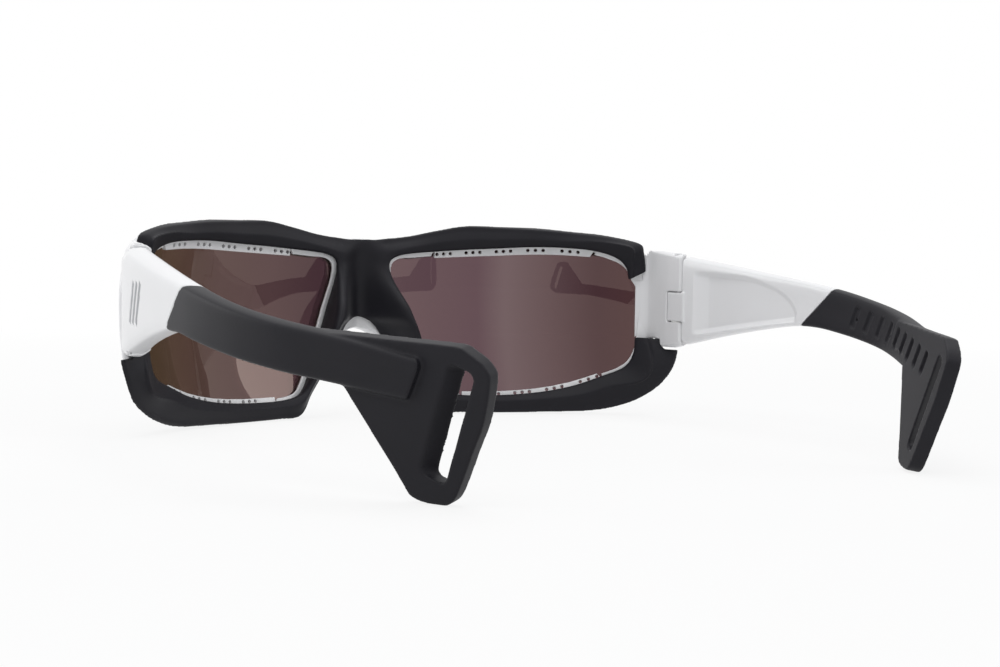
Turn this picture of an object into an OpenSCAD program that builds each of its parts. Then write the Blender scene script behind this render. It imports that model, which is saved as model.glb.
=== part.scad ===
// Wrap sports sunglasses: white nylon frame, rubber face shell, folding temples.
// +X is the wearer's left, the front faces -Y, +Z is up and z = 0 is what they rest on.

/* [Front] */
// Width across the lower outer corners of the rims
front_w = 140; // [136:0.5:143]
// Height of the rims from their feet to the brow
front_h = 47; // [45:0.5:49]
// Radius of the sphere on which both rims and lenses lie
seat_r = 70; // [69:0.5:72]
// Distance of each sphere's centre from the middle plane
seat_x = 9.8; // [9:0.1:10.6]
// Height of both sphere centres
seat_z = 30.1; // [29:0.1:31]
// Depth of the sphere centres behind the middle of the part
seat_y = -2.27; // [-3.4:0.01:-1.4]
// Gap between the face shell and the frame that it covers
shell_gap = 0.2; // [0.15:0.05:0.3]

/* [Lenses] */
// Thickness of a lens
lens_t = 1.8; // [1.4:0.1:2.1]
// Depth of the lens behind the face of its groove's rear lip
lens_back = 1.2; // [1.1:0.05:1.4]
// Clearance all round a lens in its groove
lens_gap = 0.1; // [0.05:0.05:0.15]

/* [Vent strips] */
// Thickness of a vent strip
strip_t = 0.9; // [0.6:0.1:1.0]
// Diameter of a vent hole
vent_d = 0.9; // [0.6:0.1:1.1]
// Distance between the holes of one group
vent_pitch = 1.7; // [1.4:0.1:2]
// Distance between two groups
group_pitch = 7.4; // [7:0.1:7.8]

/* [Hinge] */
// Distance of the hinge axis inside the front's widest corners
hinge_in = 2.2; // [2:0.1:2.4]
// Distance of the hinge axis behind the rim
hinge_back = 10.15; // [9.9:0.05:10.4]
// Radius of a hinge knuckle
knuckle_r = 1.7; // [1.6:0.05:1.8]
// Reach of the knuckles' heels and of the temple's tongue from the axis
heel_r = 3; // [2.8:0.1:3.1]
// Height of the temple's middle knuckle
knuckle_h = 7; // [6.4:0.1:7.4]
// Gap over the temple's knuckle, and round every knuckle
knuckle_gap = 0.25; // [0.2:0.05:0.35]
// Height of the frame's upper knuckle
upper_h = 8.6; // [8.2:0.1:8.8]
// Height of the frame's lower knuckle
lower_h = 6.2; // [5.8:0.1:6.4]
// Diameter of the hinge screw's shank
screw_d = 1.4; // [1.2:0.1:1.4]
// Radial clearance of the screw in the knuckles that turn on it
screw_fit = 0.04; // [0.02:0.01:0.08]
// Diameter of the screw's head
screw_head_d = 2.4; // [2.2:0.1:2.5]
// Height of the screw's head
screw_head_h = 1; // [0.8:0.1:1.2]
// Outer diameter of the threaded insert
insert_d = 2.2; // [2.1:0.1:2.4]
// Length of the threaded insert
insert_len = 3.6; // [3:0.1:4]
// Thickness of the washer under the temple's knuckle
washer_t = 0.3; // [0.2:0.05:0.4]

/* [Temples] */
// Gap between the temple's front edge and the rim
lap_gap = 0.25; // [0.2:0.05:0.35]
// Depth of the recess in a temple's inner face
recess_d = 0.7; // [0.4:0.1:1]
// Depth of the inlay pocket in a temple's outer face
inlay_d = 0.6; // [0.4:0.1:0.8]
// Height of an inlay bar
bar_h = 9; // [7:0.5:10]
// Width of an inlay bar
bar_w = 1.6; // [1.2:0.1:2]
// Distance between two inlay bars
bar_pitch = 3.2; // [2.8:0.1:4]
// Length of the tongue that runs into the tip
tongue_len = 22; // [16:1:24]
// Clearance round the tongue
tongue_gap = 0.1; // [0.05:0.05:0.15]

/* [Temple tips] */
// Thickness of the paddle
paddle_t = 2.8; // [2.4:0.1:3.2]
// Width of the strap slot
slot_w = 4.4; // [4.2:0.1:4.8]
// Length of the strap slot between its round ends' centres
slot_len = 14.6; // [12:0.2:15]
// Depth of a grip groove
grip_d = 0.8; // [0.4:0.1:1]
// Width of a grip groove
grip_w = 2.4; // [2:0.1:2.8]
// Length of a grip groove between its round ends' centres
grip_len = 2.2; // [1.8:0.1:2.6]
// Distance between two grip grooves along the tip
grip_pitch = 4.9; // [4.6:0.1:5]
// Lean of the paddle and of the bar that runs into it
paddle_lean = 10.9; // [10.5:0.1:11.3]

/* [Hidden] */
$fn = 48;
eps = 0.01;
// Depth below the paddle's face at which the bar's end starts
bar_sink = 0.25;
centre = [seat_x, seat_y, seat_z];

// Scale of the outline tables, which are drawn for a front 140 wide and 47 high
sx = front_w / 140;
sz = front_h / 47;

// Stations round one eye, from the upper edge of the end piece over the brow to the nose,
// and along the bottom to the lower edge of the end piece. Each row holds the shell's inner
// edge x, z and outer edge x, z, the frame's outer edge x, z, the depth of the shell's crest
// and of its outer edge behind the seat, the place of the crest, the width of frame that
// shows inside the shell, the depth of the frame's front, and 1 where a vent strip lies.
RIM = [
  [62.6, 34.0, 65.9, 36.2, 65.4, 35.7, 1.4, 0.8, 0.40, -0.3, 3.5, 0],
  [62.1, 37.3, 65.5, 40.4, 64.3, 38.8, 1.8, 0.9, 0.40, 0.6, 3.8, 0],
  [60.2, 39.7, 63.6, 43.3, 61.2, 41.3, 2.2, 1.1, 0.40, 1.4, 4.2, 1],
  [56.0, 41.3, 57.6, 45.2, 56.9, 43.5, 2.6, 1.4, 0.40, 1.8, 4.6, 1],
  [50.0, 42.0, 50.4, 46.1, 50.2, 44.6, 2.8, 1.9, 0.40, 2.0, 5.0, 1],
  [43.0, 42.1, 43.5, 46.8, 43.4, 45.7, 3.0, 2.2, 0.40, 2.1, 5.2, 1],
  [35.0, 41.6, 34.8, 47.0, 34.8, 45.8, 2.8, 1.7, 0.40, 2.0, 5.4, 1],
  [27.0, 41.1, 26.5, 47.0, 26.5, 45.8, 2.4, 1.1, 0.40, 1.9, 5.5, 1],
  [19.5, 40.5, 19.5, 45.7, 19.5, 44.5, 2.2, 0.8, 0.40, 1.7, 5.6, 1],
  [13.0, 39.9, 12.0, 44.0, 12.0, 42.9, 2.0, 0.2, 0.35, 1.9, 5.8, 1],
  [9.4, 39.2, 5.0, 43.0, 5.2, 42.3, 1.4, -1.0, 0.25, 1.8, 6.0, 0],
  [7.5, 38.0, 0.0, 42.9, 0.0, 42.2, 1.0, -1.6, 0.15, 1.5, 6.2, 0],
  [7.1, 36.2, 0.0, 38.5, 0.0, 38.2, 1.2, -2.2, 0.12, 1.0, 6.4, 0],
  [7.4, 33.5, 0.0, 34.0, 0.0, 34.0, 3.0, -2.6, 0.12, 0.8, 6.6, 0],
  [8.4, 30.0, 0.0, 30.0, 0.0, 29.4, 5.8, -2.9, 0.12, 0.8, 6.8, 0],
  [9.6, 26.5, 0.0, 26.8, 0.0, 25.4, 8.2, -3.0, 0.12, 0.8, 7.0, 0],
  [10.7, 23.0, 0.0, 24.3, 0.0, 22.3, 9.1, -3.0, 0.12, 0.8, 7.0, 0],
  [11.8, 20.0, 3.3, 22.6, 3.2, 21.0, 9.2, -1.4, 0.12, 0.8, 6.6, 0],
  [13.4, 16.0, 6.2, 18.4, 6.8, 18.2, 8.2, -0.5, 0.15, 0.8, 6.2, 0],
  [15.4, 11.0, 11.0, 10.7, 11.9, 10.9, 5.6, 0.0, 0.25, 0.9, 5.6, 0],
  [17.2, 7.4, 15.0, 5.6, 16.0, 6.4, 3.8, 0.3, 0.35, 1.0, 5.2, 0],
  [19.8, 5.1, 18.7, 0.9, 19.4, 2.9, 2.8, 0.5, 0.40, 1.2, 4.8, 1],
  [25.0, 4.2, 24.6, 0.35, 24.8, 2.2, 2.3, 0.6, 0.40, 1.2, 4.8, 1],
  [34.0, 4.2, 34.0, 0.2, 34.0, 2.1, 2.2, 0.6, 0.40, 1.2, 4.8, 1],
  [43.0, 5.0, 44.4, 0.6, 44.0, 2.4, 2.2, 0.4, 0.40, 1.2, 4.8, 1],
  [50.6, 6.8, 53.4, 1.5, 52.6, 3.3, 2.0, -0.4, 0.40, 1.2, 4.6, 1],
  [56.4, 9.3, 60.0, 3.8, 58.8, 5.6, 2.0, -0.8, 0.40, 1.1, 4.3, 1],
  [60.2, 12.2, 65.0, 7.8, 63.4, 9.2, 2.0, -1.2, 0.40, 0.8, 4.0, 1],
  [62.1, 15.4, 67.8, 13.0, 65.4, 14.0, 2.0, -0.4, 0.40, 0.3, 3.7, 0],
  [62.9, 19.5, 70.0, 19.2, 66.0, 18.6, 1.6, 0.0, 0.40, -0.3, 3.5, 0]];

// Stations of the frame alone, up across the end piece
END = [
  [63.6, 22.8, 66.0, 22.6, 66.2, 22.6, 0, 0, 0.4, -0.8, 3.5, 0],
  [63.9, 27.0, 66.0, 27.2, 66.2, 27.4, 0, 0, 0.4, -0.8, 3.5, 0],
  [63.5, 31.2, 66.0, 32.0, 66.0, 32.0, 0, 0, 0.4, -0.7, 3.5, 0]];

// Vent holes: place of each group's middle, x and z, the first and the last
TOP_VENTS = [21.8, 51.4, 5];
BOTTOM_VENTS = [32.3, 54.3, 4];

// Hinge levels
hinge_z = 27.7 * sz;
mid_z0 = hinge_z - knuckle_h / 2;
mid_z1 = mid_z0 + knuckle_h;
upper_z0 = mid_z1 + knuckle_gap;
upper_z1 = upper_z0 + upper_h;
lower_z1 = mid_z0 - washer_t - 0.02;
lower_z0 = lower_z1 - lower_h;
rim_y = seat_y - sqrt(pow(seat_r, 2) - pow(66.5 * sx - seat_x, 2));
hinge_x = front_w / 2 - hinge_in;
hinge_y = rim_y + hinge_back;
turn_r = heel_r + knuckle_gap;

// Plan of the end piece round the hinge axis: the outer side from the rim to the knuckle, and
// the inner side from the heel back to the rim
OUTER_SIDE = [[0.1, -13.2], [0.1, -8.9], [0.7, -6.2], [1.4, -3.7]];
INNER_SIDE = [[-2.7, 0.1], [-4.7, 0.2], [-7.7, 0.35], [-9.7, 0.3], [-10.8, 0.1], [-11.7, -0.4],
  [-12.6, -1.1], [-13.8, -2.1]];
// Side view of the end piece: y from the hinge axis and z from its middle
END_SIDE = [[-15, -7.7], [-5.9, -7.7], [-5.5, -10.1], [4, -10.1], [4, 12.4], [-5, 13.1],
  [-12.2, 13.6], [-12.2, 6.1], [-15, 6.1]];

// Stations along a temple and its tip: y, inner x, outer x, bottom z, top z, and how far the
// section has leant over into the plane of the paddle
ARM = [
  [-46.0, 65.6, 68.2, 17.3, 41.3, 0],
  [-42.0, 66.4, 69.2, 17.3, 41.0, 0],
  [-36.0, 66.0, 70.9, 17.4, 40.7, 0],
  [-30.0, 66.6, 72.1, 18.7, 39.9, 0],
  [-20.0, 68.0, 73.4, 20.8, 38.6, 0],
  [-8.0, 69.4, 74.5, 22.9, 36.9, 0],
  [4.0, 70.7, 75.3, 24.5, 35.2, 0],
  [12.0, 71.4, 75.6, 24.5, 34.1, 0.05],
  [20.0, 71.5, 75.5, 23.5, 32.8, 0.15],
  [28.0, 70.8, 74.6, 22.3, 31.3, 0.35],
  [36.0, 69.0, 72.8, 21.0, 29.8, 0.6],
  [44.0, 65.4, 69.7, 19.7, 28.5, 0.85],
  [52.0, 60.7, 65.1, 18.5, 27.3, 1],
  [57.0, 57.8, 62.2, 17.7, 26.5, 1],
  [62.0, 54.8, 59.2, 16.9, 25.3, 1],
  [66.0, 52.5, 56.9, 16.4, 24.7, 1],
  [70.0, 50.2, 54.6, 16.2, 24.2, 1]];
arm_move = [hinge_x - 67.8, hinge_y + 34.05, hinge_z - 27.7];

// The slanted plane where the tip begins: y at x = 73.3 and z = 25.7, and its run with z and x
joint_y = 7.5;
joint_slope = 1.25;
joint_skew = 0.6;

// The paddle's outer face: its point, outward normal and two directions in the plane
paddle_at = [62.9, 51.65, 18.2] + arm_move;
paddle_turn = 28.8;
bar_lean = tan(paddle_lean) / cos(paddle_turn);
paddle_drop = paddle_at[2] / 18.2;

// Catmull-Rom curve through a list of rows, n steps from each row to the next
function bend(p, q, r, s, t) = 0.5 * (2 * q + (r - p) * t
  + (2 * p - 5 * q + 4 * r - s) * t * t + (3 * q - p - 3 * r + s) * t * t * t);
function through(rows, n, ring = false) = let (m = len(rows)) ring
  ? [for (i = [0 : m - 1], j = [0 : n - 1])
      bend(rows[(i + m - 1) % m], rows[i], rows[(i + 1) % m], rows[(i + 2) % m], j / n)]
  : [for (i = [0 : m - 2], j = [0 : n - 1])
      bend(rows[max(i - 1, 0)], rows[i], rows[i + 1], rows[min(i + 2, m - 1)], j / n),
     rows[m - 1]];

// Point over x, z of the seat sphere, moved to the given depth behind the seat
function seat(x, z, depth = 0) = let (dx = x - seat_x, dz = z - seat_z,
    dy = -sqrt(seat_r * seat_r - dx * dx - dz * dz))
  centre + [dx, dy, dz] * (seat_r - depth) / seat_r;

// Point of a rim section: u is measured from the shell's inner edge to the given outer edge
function rim_length(r, k) = norm([(r[k] - r[0]) * sx, (r[k + 1] - r[1]) * sz]);
function rim_point(r, k, u, depth) = let (f = u / rim_length(r, k))
  seat((r[0] + (r[k] - r[0]) * f) * sx, (r[1] + (r[k + 1] - r[1]) * f) * sz, depth);

// Depth of the shell's front at its outer edge, and how far a lens reaches into its groove
function shell_front(r) = min(0, r[7] - 1);
function bite(r) = 0.5 + 0.3 * r[9];

// Section of the face shell: a wall at the eye, a crest and a rounded fall to the outer edge
function shell_section(r) = let (w = rim_length(r, 2), a = r[6], b = r[7], t = r[8])
  concat([[0, 0], [0, a * (1 - t) - 0.5], [0.4, a * (1 - t / 2)], [t * w + 0.3, a]],
    [for (k = [1 : 4]) [w * (t + (1 - t) * k / 5) , b + (a - b) * (0.5 + 0.5 * cos(36 * k))]],
    [[w - 0.1, b], [w, b - 0.4], [w, shell_front(r)], [w / 2, shell_front(r) / 2]]);

// Section of the frame: rear lip, lens groove, front lip and rounded outer edge
function frame_section(r) = let (w = rim_length(r, 4), v = r[9], lip = r[11] * 0.6 - (1 - r[11]) * v,
    g = bite(r) - v + lens_gap, d1 = -lens_back + 0.05, d2 = -lens_back - lens_t - 0.05, f = -r[10])
  [[lip, -shell_gap], [lip, d1], [g, d1], [g, d2], [-v, d2], [-v, f + 0.3],
   [-v + 0.5, f], [w - 0.9, f], [w, f + 0.9], [w, shell_front(r) - shell_gap],
   [w / 2 + 0.2, shell_front(r) * (0.5 + 0.2 / w) - shell_gap]];

// Middle of a ring of points, and its area vector
function middle(ring) = [for (p = ring) 1] * ring / len(ring);
function area(ring) = let (m = len(ring))
  [for (i = [0 : m - 1]) 1] * [for (i = [0 : m - 1]) cross(ring[i], ring[(i + 1) % m])];

// Solid through a list of rings with the same number of points, in either sense of turn
module skin(way, ring = false) {
  turned = area(way[0]) * (middle(way[1]) - middle(way[0])) > 0;
  rings = turned ? [for (r = way) [for (i = [len(r) - 1 : -1 : 0]) r[i]]] : way;
  n = len(rings);
  m = len(rings[0]);
  last = (n - 1) * m;
  sides = [for (i = [0 : n - (ring ? 1 : 2)], j = [0 : m - 1])
    let (a = i * m + j, b = i * m + (j + 1) % m, k = ((i + 1) % n) * m)
    each [[a, b, k + (j + 1) % m], [a, k + (j + 1) % m, k + j]]];
  ends = ring ? [] : [for (j = [1 : m - 2]) each [[0, j + 1, j], [last, last + j, last + j + 1]]];
  polyhedron([for (r = rings) each r], concat(sides, ends));
}

// Cone from the sphere's centre through the lens outline, or through the frame's outer edge
module cone(whole = false) {
  rows = through(concat(RIM, END), 2, true);
  far = [for (r = rows) rim_point(r, 4, whole ? rim_length(r, 4) + lap_gap : bite(r) - r[9], -20)];
  n = len(far);
  polyhedron(concat([centre], far, [seat(34 * sx, 24 * sz, -24)]),
    [for (i = [0 : n - 1]) each [[0, 1 + i, 1 + (i + 1) % n], [n + 1, 1 + (i + 1) % n, 1 + i]]]);
}

module lens() {
  color("#8a6a60") intersection() {
    difference() {
      translate(centre) sphere(r = seat_r + lens_back + lens_t, $fn = 180);
      translate(centre) sphere(r = seat_r + lens_back, $fn = 180);
    }
    cone();
  }
}

// One vent strip between two rows of the rim table, with its groups of three holes
module vent_strip(first, last, vents) {
  rows = through([for (i = [first : last]) RIM[i]], 2);
  d0 = -0.15;
  d1 = -0.15 - strip_t;
  rings = [for (r = rows) [for (p = [[-r[9], d0], [-r[9], d1], [0.35, d1], [0.35, d0]])
    rim_point(r, 2, p[0], p[1])]];
  pitch = (vents[1] - vents[0]) / (vents[2] - 1);
  color("#f2f2f0") difference() {
    skin(rings);
    for (g = [0 : vents[2] - 1], k = [-1 : 1]) {
      x = (vents[0] + g * pitch * group_pitch / 7.4) * sx + k * vent_pitch;
      row = rim_at(rows, x / sx);
      p = rim_point(row, 2, -row[9] / 2, 0);
      away = p - centre;
      translate(p) rotate([0, acos(away[2] / norm(away)), atan2(away[1], away[0])])
        cylinder(h = 4, d = vent_d, center = true, $fn = 16);
    }
  }
}

// Row of a list of rim rows that lies at the given x
function rim_at(rows, x) = let (
    i = [for (k = [0 : len(rows) - 2]) if ((rows[k][0] - x) * (rows[k + 1][0] - x) <= 0) k][0],
    f = (x - rows[i][0]) / (rows[i + 1][0] - rows[i][0]))
  rows[i] * (1 - f) + rows[i + 1] * f;

// The left half of what is drawn, and its mirror image
module both() {
  for (side = [0, 1])
    mirror([side, 0, 0]) intersection() {
      union() children();
      translate([-eps, -front_w, -front_h]) cube([front_w, 2 * front_w, 3 * front_h]);
    }
}

// Hinge axis as a place for round parts
module on_hinge(z) {
  translate([hinge_x, hinge_y, z]) children();
}

// The end piece that runs back from the rim to the outer knuckles
module end_piece() {
  plan = concat(OUTER_SIDE, [for (a = [-30 : 20 : 90]) knuckle_r * [cos(a), sin(a)]],
    [heel_r * [-0.34, 0.94], heel_r * [-0.56, 0.82]],
    [for (p = INNER_SIDE) [p[1] - knuckle_r, p[0]]]);
  difference() {
    intersection() {
      translate([hinge_x, hinge_y, 0]) linear_extrude(front_h) polygon(plan);
      translate([0, hinge_y, hinge_z]) rotate([90, 0, 90]) linear_extrude(front_w / 2)
        polygon([for (p = END_SIDE) [p[0], p[1] * sz]]);
      union() {
        translate(centre) sphere(r = seat_r + lens_back - 0.1, $fn = 180);
        translate([hinge_x - 0.4, rim_y - 10, 0]) cube([10, 30, front_h]);
      }
    }
    translate([hinge_x - 6, hinge_y, lower_z1]) cube([12, 6, upper_z0 - lower_z1]);
    on_hinge(lower_z1) cylinder(h = upper_z0 - lower_z1, r = turn_r);
    on_hinge(upper_z0 - 1) cylinder(h = front_h, d = screw_d + 2 * screw_fit);
    on_hinge(upper_z1 - screw_head_h - 0.1) cylinder(h = front_h, d = screw_head_d + 0.2);
    on_hinge(lower_z1 - insert_len) cylinder(h = insert_len + 1, d = insert_d);
  }
}

module front_frame() {
  color("#f4f4f2") both() {
    skin([for (r = through(concat(RIM, END), 2, true))
      [for (p = frame_section(r)) rim_point(r, 4, p[0], p[1])]], true);
    end_piece();
  }
}

module face_shell() {
  color("#2e2e33") difference() {
    both() skin([for (r = through(RIM, 2)) [for (p = shell_section(r)) rim_point(r, 2, p[0], p[1])]]);
    for (side = [0, 1])
      mirror([side, 0, 0]) translate([hinge_x, 0, hinge_z]) rotate([90, 0, 0]) linear_extrude(front_w)
        polygon([[-0.6, -7.4], [-0.4, -10.4 * sz], [0, -10.8 * sz], [9, -11.2 * sz], [9, 0], [-0.6, 0]]);
  }
}

// Section of a temple, drawn in by the given amount, with a flat inner face
function arm_section(r, inset = 0, inner = 0) = let (
    x0 = r[1] + inset + inner, w = r[2] - inset - x0, z0 = r[3] + inset, h = r[4] - inset - z0)
  [for (p = [[0, 0.1], [0, 0.5], [0, 0.9], [0.12, 0.98], [0.4, 1], [0.82, 0.97], [0.98, 0.87],
      [1, 0.5], [0.98, 0.13], [0.82, 0.03], [0.4, 0], [0.12, 0.02]])
    [x0 + w * p[0] + bar_lean * r[5] * h * (p[1] - 0.5), r[0], z0 + h * p[1]] + arm_move];
module arm(inset = 0, inner = 0, last = len(ARM) - 1) {
  skin([for (r = through([for (i = [0 : last]) ARM[i]], 2)) arm_section(r, inset, inner)]);
}

// Everything in front of the slanted plane where the tip begins, moved back by the given amount
module before_tip(back = 0) {
  skin([for (x = [50, 100]) let (y = joint_y + back - joint_skew * (x - 73.3))
    [for (p = [[-90, -10], [y - 35.7 * joint_slope, -10], [y + 34.3 * joint_slope, 60], [-90, 60]])
      [x, p[0], p[1]] + arm_move]]);
}

// The tongue, which follows the middle of the arm
module tongue(gap = 0) {
  w = 0.9 + gap;
  h = 2.2 + gap;
  end = joint_y + 3 + tongue_len + gap;
  rows = [for (r = through(ARM, 2)) if (r[0] > 2 && r[0] < end - 0.5) r, arm_at(end)];
  skin([for (r = rows) let (x = (r[1] + r[2]) / 2, z = (r[3] + r[4]) / 2)
    [for (a = [0 : 45 : 315]) [x + w * cos(a), r[0], z + h * sin(a)] + arm_move]]);
}

// Outline of the recess in the inner face, as y and z
module recess() {
  translate(arm_move) rotate([90, 0, 90]) linear_extrude(90)
    polygon([[-25.4, 35.5], [-11, 35.1], [-2, 33.4], [4.2, 30.8], [6.4, 28], [5.2, 25.9],
      [-4, 24.8], [-16, 23.2], [-25.4, 21.6]]);
}

// Slanted bars on the outer face, grown by the given gap
module inlay_bars(gap = 0) {
  for (k = [-1 : 1])
    translate([70.5, -19 + k * bar_pitch, 29] + arm_move) rotate([-24, 0, 0])
      translate([0, -bar_w / 2 - gap, -bar_h / 2 - gap])
        cube([20, bar_w + 2 * gap, bar_h + 2 * gap]);
}

// Room inside a temple for the end piece and for the heels that turn in it
module hinge_room() {
  gap = knuckle_gap;
  translate([hinge_x, hinge_y, 0]) linear_extrude(2 * front_h)
    polygon(concat([[-12, -20], [OUTER_SIDE[0][0] + gap, -20]],
      [for (p = OUTER_SIDE) [p[0] + gap, p[1]]],
      [[knuckle_r + gap, -1.7], [knuckle_r + gap, -0.2], [knuckle_r + 0.95, 0.45]],
      [for (a = [24 : 12 : 120]) turn_r * [cos(a), sin(a)]], [[-12, turn_r * sin(120)]]));
}

module temple() {
  reach = heel_r + 0.05;
  color("#f4f4f2") {
    difference() {
      union() {
        intersection() {
          arm();
          before_tip();
        }
        tongue();
      }
      hinge_room();
      cone(true);
      difference() {
        recess();
        arm(0, recess_d, 8);
      }
      difference() {
        inlay_bars(0.05);
        arm(inlay_d, last = 6);
      }
    }
    difference() {
      on_hinge(mid_z0) linear_extrude(knuckle_h) intersection() {
        union() {
          circle(r = reach);
          translate([-knuckle_r, 0]) square([2 * knuckle_r, turn_r + 0.8]);
        }
        translate([-knuckle_r, -reach]) square([2 * knuckle_r, 3 * reach]);
      }
      on_hinge(mid_z0 - 1) cylinder(h = knuckle_h + 2, d = screw_d + 2 * screw_fit);
    }
  }
}

// The paddle's plane: x outward, y rearward and z up within it
module on_paddle() {
  translate(paddle_at) rotate([0, 0, paddle_turn]) rotate([0, paddle_lean, 0]) children();
}

// Outline of the paddle and of its slot, as y and z in its plane
function paddle_outline() = let (k = paddle_drop) through([[30.4, 2.6], [29.4, 5.3], [27, 6.9],
  [22, 7.3], [12, 7.7], [3.1, 8.5], [-0.2, 1.9], [3.4, -1.4 * k], [13, -16.4 * k],
  [14.2, -17.8 * k], [16.4, -18.5 * k], [20, -18.4 * k], [21.8, -17.5 * k], [27, -8 * k],
  [29.8, -0.4 * k]], 2, true);
function slot_outline() = let (k = slot_len / 14.6, r = slot_w / 2, turn = -112) concat(
  [for (a = [turn - 90 : 30 : turn + 90]) [19.4, -12.1 * k] + r * [cos(a), sin(a)]],
  [for (a = [turn + 90 : 30 : turn + 270]) [24.9, 1.4 * k] + r * [cos(a), sin(a)]]);

// Plate with the given outline, drawn out from the paddle's face and past both sides if it cuts
module plate(ring, over = 0) {
  on_paddle() rotate([90, 0, 90]) translate([0, 0, -paddle_t - over])
    linear_extrude(paddle_t + 2 * over) polygon(ring);
}

// The bar's end: what lies behind it, down to just below the paddle's face
module behind_bar() {
  on_paddle() rotate([90, 0, 90]) translate([0, 0, -bar_sink]) linear_extrude(6)
    polygon([[13.6, -30], [14.9, -1.6], [15.6, -0.9], [16.5, 0.6], [18, 3.3], [18.4, 4.5],
      [18.2, 5.4], [17.2, 6.2], [16, 30], [60, 30], [60, -30]]);
}

module temple_tip() {
  color("#303036") difference() {
    union() {
      difference() {
        arm();
        before_tip(0.05);
        behind_bar();
      }
      plate(paddle_outline());
    }
    plate(slot_outline(), 1);
    tongue(tongue_gap);
    for (i = [0 : 8]) grip_groove(25.8 + i * grip_pitch);
  }
}

// One slanted groove in the inner face, which follows the way that the face runs and leans
module grip_groove(y) {
  r = arm_at(y);
  run = arm_at(y + 1)[1] - arm_at(y - 1)[1];
  translate([r[1], y, (r[3] + r[4]) / 2] + arm_move)
    rotate([0, 0, -atan(run / 2)]) rotate([0, atan(bar_lean * r[5]), 0]) rotate([-25, 0, 0])
      translate([grip_d - 3, 0, 0]) rotate([90, 0, 90]) linear_extrude(3)
        polygon([for (s = [0, 180], a = [s : 30 : s + 180])
          [grip_w * cos(a) / 2, (grip_w * sin(a) + (s > 0 ? -grip_len : grip_len)) / 2]]);
}
function arm_at(y) = let (rows = through(ARM, 4),
    i = [for (k = [0 : len(rows) - 2]) if (rows[k][0] <= y && rows[k + 1][0] > y) k][0],
    f = (y - rows[i][0]) / (rows[i + 1][0] - rows[i][0]))
  rows[i] * (1 - f) + rows[i + 1] * f;

module temple_inlay() {
  color("#8f9299") difference() {
    intersection() {
      inlay_bars();
      arm(0.05, last = 6);
    }
    arm(inlay_d - 0.05, last = 6);
  }
}

module hinge_screw() {
  color("#b8bcc2") {
    on_hinge(lower_z1 - insert_len) cylinder(h = upper_z1 - screw_head_h - lower_z1 + insert_len,
      d = screw_d);
    on_hinge(upper_z1 - screw_head_h) difference() {
      cylinder(h = screw_head_h - 0.1, d = screw_head_d);
      translate([-2, -0.2, 0.5]) cube([4, 0.4, 1]);
    }
  }
}

module hinge_insert() {
  color("#c8a04a") on_hinge(lower_z1 - insert_len) difference() {
    cylinder(h = insert_len, d = insert_d);
    translate([0, 0, -1]) cylinder(h = insert_len + 2, d = screw_d);
  }
}

module hinge_washer() {
  color("#d8d8d8") on_hinge(lower_z1 + 0.01) difference() {
    cylinder(h = washer_t, r = knuckle_r);
    translate([0, 0, -1]) cylinder(h = washer_t + 2, d = screw_d + 2 * screw_fit);
  }
}

front_frame();
face_shell();
lens();  // lens_left
mirror([1, 0, 0]) lens();  // lens_right
vent_strip(3, 8, TOP_VENTS);  // vent_strip_top_left
mirror([1, 0, 0]) vent_strip(3, 8, TOP_VENTS);  // vent_strip_top_right
vent_strip(22, 26, BOTTOM_VENTS);  // vent_strip_bottom_left
mirror([1, 0, 0]) vent_strip(22, 26, BOTTOM_VENTS);  // vent_strip_bottom_right
temple();  // temple_left
mirror([1, 0, 0]) temple();  // temple_right
temple_tip();  // temple_tip_left
mirror([1, 0, 0]) temple_tip();  // temple_tip_right
temple_inlay();  // temple_inlay_left
mirror([1, 0, 0]) temple_inlay();  // temple_inlay_right
hinge_screw();  // hinge_screw_left
mirror([1, 0, 0]) hinge_screw();  // hinge_screw_right
hinge_insert();  // hinge_insert_left
mirror([1, 0, 0]) hinge_insert();  // hinge_insert_right
hinge_washer();  // hinge_washer_left
mirror([1, 0, 0]) hinge_washer();  // hinge_washer_right
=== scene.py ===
"""Dresses the wrap sports sunglasses: soft shell and tips, tinted lenses, light and camera."""
import bmesh
import bpy
import math
import numpy as np
from mathutils import Matrix, Vector


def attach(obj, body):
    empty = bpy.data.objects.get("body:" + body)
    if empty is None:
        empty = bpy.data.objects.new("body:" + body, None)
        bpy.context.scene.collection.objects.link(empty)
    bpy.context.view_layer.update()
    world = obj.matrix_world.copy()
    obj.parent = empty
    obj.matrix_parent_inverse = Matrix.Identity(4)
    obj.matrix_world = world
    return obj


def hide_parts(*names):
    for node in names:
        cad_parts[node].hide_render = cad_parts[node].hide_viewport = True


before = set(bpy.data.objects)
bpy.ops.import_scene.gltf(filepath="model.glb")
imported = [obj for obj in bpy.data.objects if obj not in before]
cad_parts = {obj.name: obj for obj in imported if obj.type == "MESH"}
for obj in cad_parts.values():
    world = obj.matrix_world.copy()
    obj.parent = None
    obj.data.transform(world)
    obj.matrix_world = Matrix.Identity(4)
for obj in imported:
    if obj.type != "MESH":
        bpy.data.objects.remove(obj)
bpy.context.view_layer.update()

# Shapes are drawn in millimetres and brought to metres when they are finished. Curves take STEPS
# or FEW_STEPS from point to point. FULL_H is the object's height. What cuts it goes from LOW to
# TOP and out to REACH
MM = 0.001
STEPS = 8
FEW_STEPS = 4
FULL_H = 47
LOW = -10
TOP = 60
REACH = 100

# How far each half goes past the middle plane, to join the other
SPLIT_OVER = 0.01

# Grid and smoothing of the hard pieces and of the soft shell, and the extra passes where a share
# of a piece is smoothed more: the shell's saddle, the bevelled corners and the paddles
VOXEL = 0.2
PASSES = 2
SHELL_VOXEL = 0.25
SHELL_PASSES = 6
SADDLE_PASSES = 180
FRONT_PASSES = 40
TEMPLE_PASSES = 20
PADDLE_PASSES = 13
SADDLE_HALF = 6.5

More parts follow.
